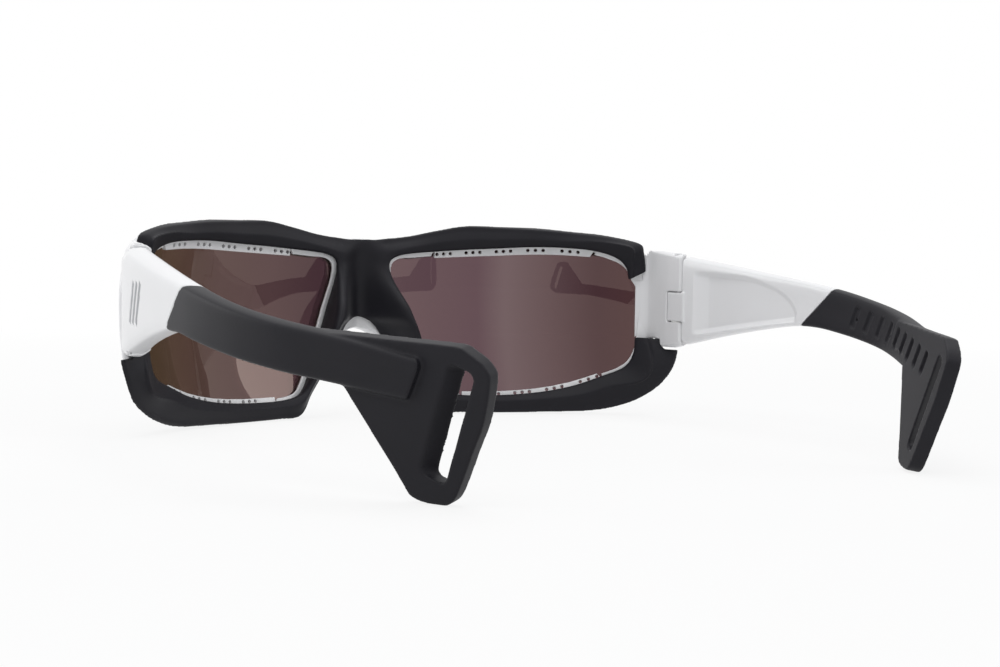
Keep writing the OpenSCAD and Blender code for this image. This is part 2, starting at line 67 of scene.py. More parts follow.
# Sphere on which both rims and lenses lie, the middle of the eye (x, z), and the gap between
# frame and shell
SEAT = np.array([9.8, -2.27, 30.1])
SEAT_R = 70.0
EYE = (34, 24)
SHELL_GAP = 0.2

# Lens: its distance in front of the sphere, its thickness, its gap and play in the groove, how
# far it runs into the frame, with a share of the frame's overlap, and the rings of its mesh
LENS_BACK = 1.2
LENS_T = 1.8
LENS_GAP = 0.1
LENS_PLAY = 0.05
BITE = 0.5
BITE_SHARE = 0.3
LENS_RINGS = 24

# Cone that trims the temple at the frame's outer edge: its gap, and the depths of its end
LAP_GAP = 0.25
CONE_REACH = 20
CONE_CROWN = 24

# Section of the shell: drop and run of the wall at the eye, place of the crest's top, points of
# the fall, and the width and height of the outer edge with the least thickness under it
WALL_DROP = 0.5
WALL_RUN = 0.4
CREST_SHIFT = 0.3
FALL_POINTS = 5
EDGE_RUN = 0.1
EDGE_DROP = 0.4
EDGE_T = 1

# Section of the frame: setback where a strip lies, radii at the eye and outside, and how far the
# middle of its back is moved outwards
STRIP_LIP = 0.6
INNER_R = 0.5
OUTER_R = 1.1
BACK_SHIFT = 0.2

# Hinge: the axis and its middle height, the knuckles with the temple's heel, washer, screw and
# insert, and the heights and turning room that follow from them
HINGE = np.array([67.8, -33.17, 27.7])
KNUCKLE_R = 1.7
HEEL_R = 3.0
KNUCKLE_H = 7.0
KNUCKLE_ROOT = -2.5
KNUCKLE_GAP = 0.25
PARTING = 0.09
WASHER_T = 0.3
WASHER_PLAY = 0.02
UPPER_H = 8.6
SCREW_BORE = 0.74
HEAD_D = 2.4
HEAD_H = 1.0
HEAD_PLAY = 0.03
HEAD_SINK = 0.1
INSERT_D = 2.2
INSERT_LEN = 3.6
MID_Z0 = HINGE[2] - KNUCKLE_H / 2
UPPER_Z0 = MID_Z0 + KNUCKLE_H + KNUCKLE_GAP
UPPER_Z1 = UPPER_Z0 + UPPER_H
LOWER_Z1 = MID_Z0 - WASHER_T - WASHER_PLAY
TURN_R = HEEL_R + KNUCKLE_GAP
KNUCKLE_REACH = TURN_R + 0.8
RIM_Y = HINGE[1] - 10.15

# Room of the end piece outside the rim, from HINGE and RIM_Y (x, y), and the notch for the temple
OUTER_ROOM = ((-0.4, -10), (9.6, 20))
NOTCH = 6

# Bevel of the front top corner of end piece and temple: its direction, a point on it, and half
# the width and the height of what cuts it
CORNER_OUT = (0.851, -0.211, 0.481)
CORNER_AT = (69, -36.9, 39.9)
CORNER_HALF = 15
CORNER_H = 9

# Temples and tips. Their stations are moved by ARM_MOVE, and ARM_FRONT is a y before them all.
# The joint of temple and tip is a slanted plane that passes JOINT_Y at JOINT_X, JOINT_Z
ARM_MOVE = np.array([0.0, HINGE[1] + 34.05, 0.0])
ARM_FRONT = -90
JOINT_X = 73.3
JOINT_Y = 7.5
JOINT_Z = 25.7
JOINT_SLOPE = 1.25
JOINT_SKEW = 0.6
JOINT_GAP = 0.05
TONGUE_LEN = 22.0
TONGUE_START = 2
TONGUE_ROOT = 3
TONGUE_HALF = (0.65, 2.2)
TONGUE_GAP = 0.1

# Recess in the temple's inner face: its depth, how far its edge spreads and how wide it is, the
# skin under the face that moves with it and then less and less, and the cove at its front
RECESS_D = 0.9
RECESS_SPREAD = 0.3
RECESS_EDGE = 1.5
SKIN = 0.5
SKIN_FADE = 0.8
COVE_FRONT = 27.2
COVE_RUN = 3.6
COVE_DEPTH = 1.9
COVE_FADE = 1.2
COVE_LEN = 22

# Bars in the temple's outer face: slant, middle (y, z) and the stations that they lie in
INLAY_D = 0.6
INLAY_GAP = 0.05
INLAY_STATIONS = 7
BAR_H = 9.0
BAR_W = 1.6
BAR_PITCH = 3.2
BAR_SLANT = -24
BAR_MIDDLE = (-19, 29)
BAR_X = (70.5, 90.5)

# Paddle: thickness, place, turn and lean, the directions along, up and out of it, the lean that it
# gives the tip's bar, and how deep the cut behind the bar goes below the paddle's face
PADDLE_T = 2.8
PADDLE_AT = np.array([62.9, 51.65, 18.2]) + ARM_MOVE
PADDLE_TURN = math.radians(28.8)
PADDLE_LEAN = math.radians(10.9)
PADDLE_N = np.array([math.cos(PADDLE_TURN) * math.cos(PADDLE_LEAN),
                     math.sin(PADDLE_TURN) * math.cos(PADDLE_LEAN), -math.sin(PADDLE_LEAN)])
PADDLE_Y = np.array([-math.sin(PADDLE_TURN), math.cos(PADDLE_TURN), 0])
PADDLE_Z = np.cross(PADDLE_N, PADDLE_Y)
BAR_LEAN = math.tan(PADDLE_LEAN) / math.cos(PADDLE_TURN)
BAR_SUNK = 0.25

# Strap slot in the paddle: middle, turn in degrees, half its length and width, corners, how much
# wider it is at the outer face, and how far its front wall slants back to the inner face
SLOT_MIDDLE = [22.0, -5.3]
SLOT_TURN = 67.5
SLOT_HALF = [9.75, 2.2]
SLOT_R = 1.3
SLOT_WIDER = 0.55
SLOT_SLANT = 2.0

# Grip grooves in the tip: number, size, corners, pitch, first y, slant in degrees and the share
# of the depth that the floor climbs. Every third one has a pit, each a little lower
GRIPS = 9
GRIP_D = 0.45
GRIP_W = 2.1
GRIP_LEN = 4.8
GRIP_R = 0.5
GRIP_PITCH = 4.9
GRIP_FIRST = 25.8
GRIP_SLANT = 25
GRIP_CLIMB = 0.95
PIT_EVERY = 3
PIT_R = 0.4
PIT_AT = (0.35, -0.2)
PIT_DRIFT = 0.1

# Stations round one eye: the shell's inner edge x, z and outer edge x, z, the frame's outer edge
# x, z, the depth of the shell's crest and of its outer edge, the place of the crest, the width of
# frame over the lens inside the shell, and the depth of the frame's front
SHELL_EDGE, FRAME_EDGE, CREST, EDGE, CREST_AT, OVER_LENS, FRONT = 2, 4, 6, 7, 8, 9, 10
RIM = [
    [62.9, 34.0, 65.4, 36.1, 65.4, 35.7, 1.9, 0.3, 0.25, -0.3, 3.5],
    [62.3, 37.2, 64.8, 40.6, 64.3, 38.8, 2.4, 0.3, 0.45, 0.6, 3.8],
    [60.2, 39.7, 63.6, 43.3, 61.2, 41.3, 2.7, 0.6, 0.75, 1.4, 4.2],
    [56.0, 41.3, 57.6, 45.2, 56.9, 43.5, 2.7, 1.8, 0.60, 1.8, 4.6],
    [50.0, 42.0, 50.4, 46.1, 50.2, 44.6, 2.8, 1.9, 0.40, 2.0, 5.0],
    [43.0, 42.1, 43.5, 46.8, 43.4, 45.7, 3.0, 2.2, 0.40, 2.1, 5.2],
    [35.0, 41.6, 34.8, 47.0, 34.8, 45.8, 2.8, 1.7, 0.40, 2.0, 5.4],
    [27.0, 41.1, 26.5, 47.0, 26.5, 45.8, 2.4, 1.1, 0.40, 1.9, 5.5],
    [19.5, 40.5, 19.5, 45.7, 19.5, 44.5, 2.2, 0.8, 0.40, 1.7, 5.6],
    [13.0, 39.9, 12.0, 44.0, 12.0, 42.9, 2.0, 0.2, 0.35, 1.9, 5.8],
    [9.4, 39.2, 5.0, 43.0, 5.2, 42.3, 1.4, -1.0, 0.25, 1.8, 6.0],
    [7.5, 38.0, 0.0, 42.9, 0.0, 42.2, 1.0, -1.6, 0.15, 1.5, 6.2],
    [7.1, 36.2, 0.0, 38.5, 0.0, 38.2, 1.2, -2.2, 0.12, 1.0, 6.4],
    [7.4, 33.5, 0.0, 34.0, 0.0, 34.0, 3.0, -2.6, 0.12, 0.8, 6.6],
    [8.4, 30.0, 0.0, 30.0, 0.0, 29.4, 5.8, -2.9, 0.12, 0.8, 6.8],
    [9.6, 26.5, 0.0, 26.8, 0.0, 25.4, 8.2, -3.0, 0.12, 0.8, 7.0],
    [10.7, 23.0, 0.0, 24.3, 0.0, 22.3, 9.1, -3.0, 0.12, 0.8, 7.0],
    [11.8, 20.0, 3.3, 22.6, 3.2, 21.0, 9.2, -1.4, 0.12, 0.8, 6.6],
    [13.4, 16.0, 6.2, 18.4, 6.8, 18.2, 8.2, -0.5, 0.15, 0.8, 6.2],
    [15.4, 11.0, 11.0, 10.7, 11.9, 10.9, 5.6, 0.0, 0.25, 0.9, 5.6],
    [17.2, 7.4, 15.0, 5.6, 16.0, 6.4, 3.8, 0.3, 0.35, 1.0, 5.2],
    [19.8, 5.1, 18.7, 0.9, 19.4, 2.9, 2.8, 0.5, 0.40, 1.2, 4.8],
    [25.0, 4.2, 24.6, 0.35, 24.8, 2.2, 2.3, 0.6, 0.40, 1.2, 4.8],
    [34.0, 4.2, 34.0, 0.2, 34.0, 2.1, 2.2, 0.6, 0.40, 1.2, 4.8],
    [43.0, 5.0, 44.4, 0.6, 44.0, 2.4, 2.2, 0.4, 0.40, 1.2, 4.8],
    [50.6, 6.8, 53.4, 1.5, 52.6, 3.3, 2.0, -0.4, 0.40, 1.2, 4.6],
    [56.4, 9.3, 60.0, 3.8, 58.8, 5.6, 2.0, -0.8, 0.40, 1.1, 4.3],
    [60.9, 11.8, 65.0, 7.8, 63.4, 9.2, 2.0, -1.2, 0.70, 0.8, 4.0],
    [63.0, 15.1, 68.4, 12.9, 65.4, 14.0, 2.4, -0.5, 0.50, 0.3, 3.7],
    [63.8, 19.4, 70.0, 19.2, 66.0, 18.6, 2.4, -0.4, 0.25, -0.3, 3.5]]

# Stations of the frame alone, at the end piece, where the shell is open
END = [
    [63.6, 22.8, 66.0, 22.6, 66.2, 22.6, 0, 0, 0.4, -0.8, 3.5],
    [63.9, 27.0, 66.0, 27.2, 66.2, 27.4, 0, 0, 0.4, -0.8, 3.5],
    [63.5, 31.2, 66.0, 32.0, 66.0, 32.0, 0, 0, 0.4, -0.7, 3.5]]

# By the number of the station: where the vent strips lie, the width of the lip that shows
# elsewhere, how far the shell's fall is a flat facet, and how much the frame's outer edge is
# drawn in
STRIPS = [[3, 8], [22, 26]]
LIP = [[0, -0.2], [1, 0.45], [2, 1.15], [9, 1.3], [10, 1.25], [11, 1.1], [12, 0.9], [13, 0.8],
       [21, 0.9], [27, 0.8], [28, 0.5], [29, 0.1], [30, -0.6], [31, -0.95], [32, -0.8], [33, -0.2]]
FACET = [[0, 1], [2.2, 1], [4, 0], [26, 0], [27, 1], [29, 1]]
DRAW_IN = [[25, 0], [26.5, 0.5], [28, 0.5], [28.8, 0]]

# Stations along a temple and its tip: y, inner x, outer x, bottom z, top z, share of the lean
ARM = [
    [-46.0, 65.6, 68.2, 17.3, 41.3, 0],
    [-42.0, 66.4, 69.2, 17.3, 41.0, 0],
    [-36.0, 66.0, 70.9, 17.4, 40.7, 0],
    [-30.0, 66.6, 72.1, 18.7, 39.9, 0],
    [-20.0, 68.0, 73.4, 20.8, 38.6, 0],
    [-8.0, 69.4, 74.5, 22.9, 36.9, 0],
    [4.0, 70.7, 75.3, 24.5, 35.2, 0],
    [12.0, 71.4, 75.6, 24.5, 34.1, 0.05],
    [20.0, 71.5, 75.5, 23.5, 32.8, 0.15],
    [28.0, 70.8, 74.6, 22.3, 31.3, 0.35],
    [36.0, 69.0, 72.8, 21.0, 29.8, 0.6],
    [44.0, 65.4, 69.7, 19.7, 28.3, 0.85],
    [52.0, 60.7, 65.1, 18.5, 26.9, 1],
    [57.0, 57.8, 62.2, 17.7, 26.0, 1],
    [62.0, 54.8, 59.2, 16.9, 24.9, 1],
    [66.0, 52.5, 56.9, 16.4, 23.9, 1],
    [70.0, 50.2, 54.6, 16.2, 23.2, 1]]
ARM_SECTION = [[0, 0.1], [0, 0.5], [0, 0.9], [0.12, 0.98], [0.4, 1], [0.82, 0.97], [0.98, 0.87],
               [1, 0.5], [0.98, 0.13], [0.82, 0.03], [0.4, 0], [0.12, 0.02]]

# Envelope that rounds the end piece as the temple is rounded, in the same columns
END_ROUND = [
    [-75, 30, 68.2, 17.3, 42.6, 0],
    [-52, 58, 68.2, 17.3, 42.5, 0],
    [-48.5, 62.5, 68.2, 17.3, 42.4, 0],
    [-47, 64.4, 68.2, 17.3, 42.3, 0],
    [-45.8, 65.5, 68.3, 17.3, 42.2, 0],
    [-44, 66.1, 68.7, 17.3, 42, 0],
    [-42, 66.3, 69.2, 17.3, 41.75, 0],
    [-36, 65.95, 70.9, 17.4, 41.1, 0],
    [-30, 65.95, 72.1, 18.7, 40.35, 0],
    [-20, 65.95, 73.4, 20.8, 38.6, 0]]

# Round the hinge axis: the end piece's plan, with the points on its heel as shares of HEEL_R, its
# side view (y, z), and the step (x, z) that the shell's lower end makes below it
OUTER_SIDE = [[0.1, -13.2], [0.1, -8.9], [0.7, -6.2], [1.4, -3.7]]
INNER_SIDE = [[-2.7, 0.1], [-4.7, 0.2], [-7.7, 0.35], [-9.7, 0.3], [-10.8, 0.1], [-11.7, -0.4],
              [-12.6, -1.1], [-13.8, -2.1]]
HEEL = [[-0.34, 0.94], [-0.56, 0.82]]
END_SIDE = [[-15, -8.15], [-5.9, -8.15], [-5.5, -10.1], [4, -10.1], [4, 12.6], [-5, 13.6],
            [-12.2, 14.6], [-12.2, 6.1], [-15, 6.1]]
SHELL_STEP = [[-0.6, -7.4], [-0.4, -10.4], [0, -10.8], [9, -11.2], [9, 0], [-0.6, 0]]

# In the paddle's plane: its outline, and what is cut away behind the end of the bar
PADDLE = [[30.4, 2.4], [30, 3.8], [28.7, 5.2], [26.3, 6.75], [25.2, 7.2], [22, 7.45], [12, 7.95],
          [3.1, 8.45], [-3, 8.7], [-8, 8.6], [-8.5, 4], [0.6, 2.6], [2.5, 0], [6.6, -6.4],
          [10.6, -12.7], [12.8, -16.4], [13.5, -17.4], [14.8, -18], [16.4, -18.35], [19.6, -18.5],
          [20.6, -18.3], [21.9, -17.3], [23.4, -14.8], [26.2, -9.2], [28.3, -5.2], [29.6, -1.2]]
BAR_END = [[13.6, -30], [14.6, -1.9], [15.3, -1.5], [15.9, -0.6], [16.6, 0.6], [18, 3.3],
           [18.3, 4.1], [18.2, 4.8], [17.6, 5.5], [16.8, 5.9], [16, 30], [60, 30], [60, -30]]

# Recess in the temple's inner face (y, z): a curved front and a straight rear
RECESS_CURVE = [[-28, 36.4], [-11, 35.6], [-2, 33.7], [3.6, 31.2], [6.4, 28], [6.2, 25.6]]
RECESS_REST = [[-4, 24.4], [-16, 22.9], [-33, 20.2], [-33, 30]]

# Half the width that the lens colour drifts over, in metres, and its tones from right to left. They
# mix the brown tint with painted light: painted shade at the right lens's outer end, where the
# arm's shade falls, and amber at the left lens's outer end as a painted glancing reflection
LENS_REACH = 0.066
LENS_TONES_AND_LIGHT = [
    (0.0, (0.070, 0.032, 0.034)),
    (0.06, (0.062, 0.029, 0.034)),
    (0.13, (0.100, 0.058, 0.064)),
    (0.21, (0.140, 0.092, 0.100)),
    (0.26, (0.094, 0.049, 0.064)),
    (0.44, (0.118, 0.070, 0.078)),
    (0.58, (0.060, 0.029, 0.036)),
    (0.68, (0.082, 0.044, 0.047)),
    (0.80, (0.086, 0.048, 0.044)),
    (0.90, (0.084, 0.050, 0.034)),
    (1.0, (0.070, 0.044, 0.022))]

# Studio in metres: lamps by name, place, size and watts, their target, the world and the floor
LAMPS = [
    ("key", (0.45, 0.35, 0.75), 0.5, 2.0),
    ("top", (-0.1, -0.1, 0.9), 0.8, 3.3),
    ("side", (-0.7, 0.5, 0.35), 0.4, 1.2),
    ("front", (0.65, -0.6, 0.3), 0.5, 1.6)]
LAMP_TARGET = (0, 0, 0.02)
WORLD_COLOUR = (0.96, 0.975, 1.0, 1)
WORLD_STRENGTH = 0.45
FLOOR_HALF = 6.0

# The photograph's camera, worked out from mirror pairs of points on the object: its place in
# millimetres, its view direction, its right-hand side and its lens
CAMERA_AT = (165.89, 288.01, 38.67)
CAMERA_FORWARD = (-0.4947, -0.8678, -0.0462)
CAMERA_RIGHT = (-0.869, 0.4946, 0.0152)
CAMERA_LENS = 57.6
CAMERA_SENSOR = 36
CAMERA_CLIP = 0.01


def through(rows, n, ring=False):
    """Catmull-Rom curve through rows of numbers, n steps from each row to the next."""
    rows = np.array(rows, float)
    m = len(rows)
    out = []
    for i in range(m if ring else m - 1):
        k = [i - 1, i, i + 1, i + 2]
        p, q, r, s = rows[[j % m for j in k] if ring else np.clip(k, 0, m - 1)]
        for t in np.arange(n) / n:
            out.append(0.5 * (2 * q + (r - p) * t + (2 * p - 5 * q + 4 * r - s) * t ** 2
                              + (3 * q - p - 3 * r + s) * t ** 3))
    return np.array(out if ring else out + [rows[-1]])


def smoothstep(x):
    """Share from 0 to 1 that starts and ends softly."""
    x = np.clip(x, 0, 1)
    return x * x * (3 - 2 * x)


def by_station(table, place):
    """Value of a table at a place between numbered stations."""
    return float(np.interp(place, [r[0] for r in table], [r[1] for r in table]))


def rim_rows():
    """Stations of the frame all the way round the eye, with the steps between them."""
    return through(RIM + END, STEPS, True)


def seat(x, z, depth):
    """Point over x, z of the seat sphere, moved to the given depth behind the seat."""
    dx, dz = x - SEAT[0], z - SEAT[2]
    dy = -math.sqrt(SEAT_R ** 2 - dx * dx - dz * dz)
    return SEAT + np.array([dx, dy, dz]) * (SEAT_R - depth) / SEAT_R


def rim_length(row, edge):
    """Width of a rim section from the shell's inner edge to an outer edge."""
    return math.hypot(row[edge] - row[0], row[edge + 1] - row[1])


def rim_point(row, edge, u, depth):
    """Point of a rim section at the distance u from the shell's inner edge towards an outer one."""
    f = u / rim_length(row, edge)
    x = row[0] + (row[edge] - row[0]) * f
    z = row[1] + (row[edge + 1] - row[1]) * f
    return seat(x, z, depth)


def shell_front(row):
    """Depth of the shell's front side at its outer edge."""
    return min(0, row[EDGE] - EDGE_T)


def bite(row):
    """How far the lens runs into the frame."""
    return BITE + BITE_SHARE * row[OVER_LENS]


def shell_section(row, facet):
    """The wall at the eye, the crest and the fall to the outer edge, rounded or a flat facet."""
    w = rim_length(row, SHELL_EDGE)
    top, edge, at = row[CREST], row[EDGE], row[CREST_AT]
    rise = [[0, top * (1 - at) - WALL_DROP], [WALL_RUN, top * (1 - at / 2)],
            [at * w + CREST_SHIFT, top]]
    fall = []
    for k in range(1, FALL_POINTS):
        rounded_share = 0.5 - 0.5 * math.cos(k * math.pi / FALL_POINTS)
        share = facet * k / FALL_POINTS + (1 - facet) * rounded_share
        fall.append([w * (at + (1 - at) * k / FALL_POINTS), top + (edge - top) * share])
    back = through(rise + fall + [[w - EDGE_RUN, edge]], FEW_STEPS)
    front = shell_front(row)
    return [[0, 0], *back, [w, edge - EDGE_DROP], [w, front], [w / 2, front / 2]]


def frame_section(row, place):
    """Rear lip, lens groove, crowned front and rounded outer edge."""
    w, v = rim_length(row, FRAME_EDGE) - by_station(DRAW_IN, place), row[OVER_LENS]
    in_strip = any(first <= place <= last for first, last in STRIPS)
    lip = STRIP_LIP if in_strip else -by_station(LIP, place)
    groove = bite(row) - v + LENS_GAP
    rear = -LENS_BACK + LENS_PLAY
    fore = -LENS_BACK - LENS_T - LENS_PLAY
    face = -row[FRONT]
    inner = [[-v + INNER_R - INNER_R * math.cos(a), face + INNER_R - INNER_R * math.sin(a)]
             for a in np.radians([0, 30, 60, 90])]
    outer = [[w - OUTER_R + OUTER_R * math.sin(a), face + OUTER_R - OUTER_R * math.cos(a)]
             for a in np.radians([0, 22, 45, 68, 90])]
    front = shell_front(row)
    middle = [w / 2 + BACK_SHIFT, front * (0.5 + BACK_SHIFT / w) - SHELL_GAP]
    return [[lip, -SHELL_GAP], [lip, rear], [groove, rear], [groove, fore], [-v, fore],
            *inner, *outer, [w, front - SHELL_GAP], middle]


def link_object(name, mesh):
    """New object in the scene."""
    obj = bpy.data.objects.new(name, mesh)
    bpy.context.scene.collection.objects.link(obj)
    return obj


def solid(name, verts, faces):
    """Mesh object from points and faces, with its normals turned outwards."""
    mesh = bpy.data.meshes.new(name)
    mesh.from_pydata([tuple(v) for v in verts], [], faces)
    work = bmesh.new()
    work.from_mesh(mesh)
    bmesh.ops.recalc_face_normals(work, faces=work.faces)
    work.to_mesh(mesh)
    work.free()
    return link_object(name, mesh)


def loft(name, rings, closed=False):
    """Solid through rings that have the same number of points."""
    rings = np.array(rings, float)
    n, m = rings.shape[:2]
    faces = [(i * m + j, i * m + (j + 1) % m, (i + 1) % n * m + (j + 1) % m, (i + 1) % n * m + j)
             for i in range(n if closed else n - 1) for j in range(m)]
    if not closed:
        faces += [tuple(range(m)), tuple(range((n - 1) * m, n * m))]
    return solid(name, rings.reshape(-1, 3), faces)


def prism(name, outline, low, high, place):
    """Outline drawn out from low to high; place(a, b, c) puts its points in space."""
    return loft(name, [[place(p[0], p[1], c) for p in outline] for c in (low, high)])


def upright(name, outline, low, high, at=(0, 0)):
    """Outline in x, y drawn out from the height low to the height high."""
    return prism(name, outline, low, high, lambda a, b, c: (a + at[0], b + at[1], c))


def arc(r, first, last, step=10, at=(0, 0)):
    """Points on a circle from one angle to another, in degrees."""
    count = max(1, round(abs(last - first) / step))
    return [[at[0] + r * math.cos(a), at[1] + r * math.sin(a)]
            for a in np.radians(np.linspace(first, last, count + 1))]


def rounded(long, wide, r):
    """Rectangle with rounded corners, given by half its length and width."""
    corners = [(long - r, wide - r, 0), (r - long, wide - r, 90),
               (r - long, r - wide, 180), (long - r, r - wide, 270)]
    return [p for x, y, first in corners for p in arc(r, first, first + 90, 18, (x, y))]


def rod(name, r, low, high):
    """Round rod on the hinge axis."""
    return upright(name, arc(r, 0, 350), low, high, HINGE)


def block(name, low, high):
    """Box between its lowest and highest corners."""
    outline = [[low[0], low[1]], [high[0], low[1]], [high[0], high[1]], [low[0], high[1]]]
    return upright(name, outline, low[2], high[2])


def settle(obj):
    """Turns what the modifiers make into the object's own mesh."""
    graph = bpy.context.evaluated_depsgraph_get()
    mesh = bpy.data.meshes.new_from_object(obj.evaluated_get(graph))
    obj.modifiers.clear()
    obj.data = mesh


def combine(obj, tool, operation="DIFFERENCE"):
    """Boolean of two solids; the tool is used up."""
    change = obj.modifiers.new("combine", "BOOLEAN")
    change.operation = operation
    change.solver = "MANIFOLD"
    change.object = tool
    settle(obj)
    bpy.data.objects.remove(tool)
    return obj


def points_of(obj):
    """Points of a mesh as rows of x, y, z."""
    co = np.zeros(len(obj.data.vertices) * 3, np.float32)
    obj.data.vertices.foreach_get("co", co)
    return co.reshape(-1, 3).astype(float)


def smooth_mesh(obj, passes, group=""):
    """Smooths a mesh, with each point's share given by a vertex group."""
    smooth = obj.modifiers.new("smooth", "SMOOTH")
    smooth.factor = 0.5
    smooth.iterations = passes
    smooth.vertex_group = group
    settle(obj)


def soften(obj, voxel, passes, extra, extra_passes):
    """Even mesh with rounded edges; extra gives each point's share of a stronger smoothing."""
    net = obj.modifiers.new("net", "REMESH")
    net.mode = "VOXEL"
    net.voxel_size = voxel
    settle(obj)
    smooth_mesh(obj, passes)
    group = obj.vertex_groups.new(name="extra")
    weights = np.round(extra(points_of(obj)), 1)
    for level in np.unique(weights[weights > 0]):
        group.add(np.nonzero(weights == level)[0].tolist(), float(level), "REPLACE")
    smooth_mesh(obj, extra_passes, "extra")
    obj.vertex_groups.clear()
    return obj


def mirrored(obj, name):
    """Copy of an object on the other side of the middle plane."""
    mesh = obj.data.copy()
    mesh.transform(Matrix.Diagonal((-1, 1, 1, 1)))
    mesh.flip_normals()
    return link_object(name, mesh)


def both(half, name):
    """The half and its mirror image, joined in the middle plane."""
    combine(half, block("room", (-SPLIT_OVER, -REACH, LOW), (REACH, 20, TOP)), "INTERSECT")
    return combine(half, mirrored(half, name + "_half"), "UNION")


def finish_piece(obj, material, body, slot, *nodes):
    """Brings a piece to metres, gives it its material and its body, and hides the nodes it stands
    for.
    """
    obj.data.transform(Matrix.Scale(MM, 4))
    obj.data.shade_smooth()
    obj.data.materials.clear()
    obj.data.materials.append(material)
    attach(obj, body)
    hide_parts(*nodes)
    return obj


def rim_cone():
    """Cone from the sphere's centre through the frame's outer edge, wider by the lap's gap."""
    far = [rim_point(row, FRAME_EDGE, rim_length(row, FRAME_EDGE) + LAP_GAP, -CONE_REACH)
           for row in rim_rows()]
    n = len(far)
    faces = [(0, 1 + i, 1 + (i + 1) % n) for i in range(n)]
    faces += [(n + 1, 1 + (i + 1) % n, 1 + i) for i in range(n)]
    return solid("cone", [SEAT, *far, seat(*EYE, -CONE_CROWN)], faces)


def make_shell():
    """Face shell: lofted round one eye, stepped below the end piece, mirrored and softened."""
    rings = []
    for i, row in enumerate(through(RIM, STEPS)):
        section = shell_section(row, by_station(FACET, i / STEPS))
        rings.append([rim_point(row, SHELL_EDGE, u, depth) for u, depth in section])
    half = loft("face_shell_half", rings)
    combine(half, prism("step", SHELL_STEP, -REACH, 0,
                        lambda a, b, c: (HINGE[0] + a, c, HINGE[2] + b)))
    shell = both(half, "face_shell")
    shell.name = "rubber_face_shell"
    return soften(shell, SHELL_VOXEL, SHELL_PASSES,
                  lambda p: 1 - smoothstep(np.abs(p[:, 0]) / SADDLE_HALF), SADDLE_PASSES)


def corner_cut():
    """What the front top corner of end piece and temple loses to its bevel."""
    out = Vector(CORNER_OUT).normalized()
    along = out.cross(Vector((0, 0, 1))).normalized()
    up = out.cross(along)
    at = Vector(CORNER_AT)
    square = [[-CORNER_HALF, -CORNER_HALF], [CORNER_HALF, -CORNER_HALF],
              [CORNER_HALF, CORNER_HALF], [-CORNER_HALF, CORNER_HALF]]
    return prism("corner", square, 0, CORNER_H,
                 lambda a, b, c: at + along * a + up * b + out * c)


def corner_share(p):
    """Share of extra smoothing at that corner and at the top of the nose arch."""
    across = np.abs(p[:, 0])
    corner = (across > 66.5) & (p[:, 1] < -35) & (p[:, 2] > 33)
    arch = (across < 5) & (p[:, 2] < 26)
    return np.where(corner | arch, 1.0, 0.0)


def end_room():
    """Room of the end piece: the sphere behind the lens, and a block outside it at the hinge."""
    ball = bmesh.new()
    bmesh.ops.create_uvsphere(ball, u_segments=180, v_segments=90,
                              radius=SEAT_R + LENS_BACK - 0.1)
    mesh = bpy.data.meshes.new("ball")
    bmesh.ops.translate(ball, verts=ball.verts, vec=SEAT)
    ball.to_mesh(mesh)
    ball.free()
    (x0, y0), (x1, y1) = OUTER_ROOM
    outer = block("outer", (HINGE[0] + x0, RIM_Y + y0, 0), (HINGE[0] + x1, RIM_Y + y1, FULL_H))
    return combine(link_object("ball", mesh), outer, "UNION")


def end_piece():
    """End piece of the front frame with the upper and lower knuckles and their bores."""
    plan = (OUTER_SIDE + arc(KNUCKLE_R, -30, 90) + [[HEEL_R * a, HEEL_R * b] for a, b in HEEL]
            + [[p[1] - KNUCKLE_R, p[0]] for p in INNER_SIDE])
    piece = upright("end_piece", plan, 0, FULL_H, HINGE)
    combine(piece, prism("side", END_SIDE, 0, 75,
                         lambda a, b, c: (c, HINGE[1] + a, HINGE[2] + b)), "INTERSECT")
    combine(piece, end_room(), "INTERSECT")
    rounding = loft("round", [arm_section(r) for r in through(END_ROUND, STEPS)])
    combine(piece, rounding, "INTERSECT")
    combine(piece, block("notch", (HINGE[0] - NOTCH, HINGE[1], LOWER_Z1),
                         (HINGE[0] + NOTCH, HINGE[1] + NOTCH, UPPER_Z0)))
    for r, low, high in ((TURN_R, LOWER_Z1, UPPER_Z0),
                         (SCREW_BORE, UPPER_Z0 - 1, TOP),
                         (HEAD_D / 2 + HEAD_PLAY, UPPER_Z1 - HEAD_H - HEAD_SINK, TOP),
                         (INSERT_D / 2, LOWER_Z1 - INSERT_LEN, LOWER_Z1 + 1)):
        combine(piece, rod("bore", r, low, high))
    return combine(piece, corner_cut())


def make_front():
    """Front frame: rim with its lens groove, joined with the end piece, mirrored and softened."""
    rings = []
    for i, row in enumerate(rim_rows()):
        section = frame_section(row, i / STEPS)
        rings.append([rim_point(row, FRAME_EDGE, u, depth) for u, depth in section])
    half = loft("front_half", rings, True)
    combine(half, end_piece(), "UNION")
    front = both(half, "front")
    front.name = "white_front_frame"
    return soften(front, VOXEL, PASSES, corner_share, FRONT_PASSES)


def lens(name):
    """Lens between two spheres, as two faces of rings that shrink to the middle, and its edge."""
    rim = np.array([rim_point(row, FRAME_EDGE, bite(row) - row[OVER_LENS], 0)
                    for row in rim_rows()]) - SEAT
    middle = np.array(seat(*EYE, 0)) - SEAT
    verts = []
    for radius in (SEAT_R + LENS_BACK, SEAT_R + LENS_BACK + LENS_T):
        for i in range(LENS_RINGS):
            ring = rim + (middle - rim) * i / LENS_RINGS
            ring /= np.linalg.norm(ring, axis=1)[:, None]
            verts += list(SEAT + ring * radius)
        verts.append(SEAT + middle / np.linalg.norm(middle) * radius)
    n = len(rim)
    half = LENS_RINGS * n + 1
    faces = [(j, (j + 1) % n, half + (j + 1) % n, half + j) for j in range(n)]
    for start in (0, half):
        for i in range(LENS_RINGS - 1):
            a = start + i * n
            faces += [(a + j, a + (j + 1) % n, a + n + (j + 1) % n, a + n + j) for j in range(n)]
        a = start + (LENS_RINGS - 1) * n
        faces += [(a + j, a + (j + 1) % n, start + half - 1) for j in range(n)]
    return solid(name, verts, faces)


